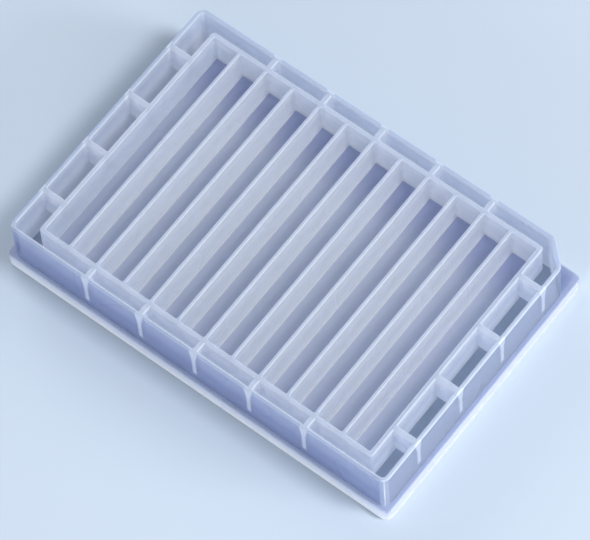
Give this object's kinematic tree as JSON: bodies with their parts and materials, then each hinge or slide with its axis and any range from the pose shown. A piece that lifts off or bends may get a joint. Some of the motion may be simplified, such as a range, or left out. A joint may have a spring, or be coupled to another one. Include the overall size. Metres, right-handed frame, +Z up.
{
  "type": "reagent reservoir",
  "caption": "Low, plate-sized moulded plastic reservoir with side-by-side open channels, hung on ribs inside an outer wall with a stepped skirt and one cut-off index corner.",
  "frame": {"origin": "bottom centre of the flange, on the surface it stands on", "axes": "+X along the long side, across the channels; +Y along the channels; +Z up, out of the channels' mouths. The cut-off index corner is at +X +Y"},
  "size_m": [0.1278, 0.0854, 0.02],
  "materials": {
    "polypropylene": "natural milky translucent polypropylene, satin"
  },
  "bodies": {
    "root": {"reservoir": "polypropylene"}
  },
  "joints": []
}
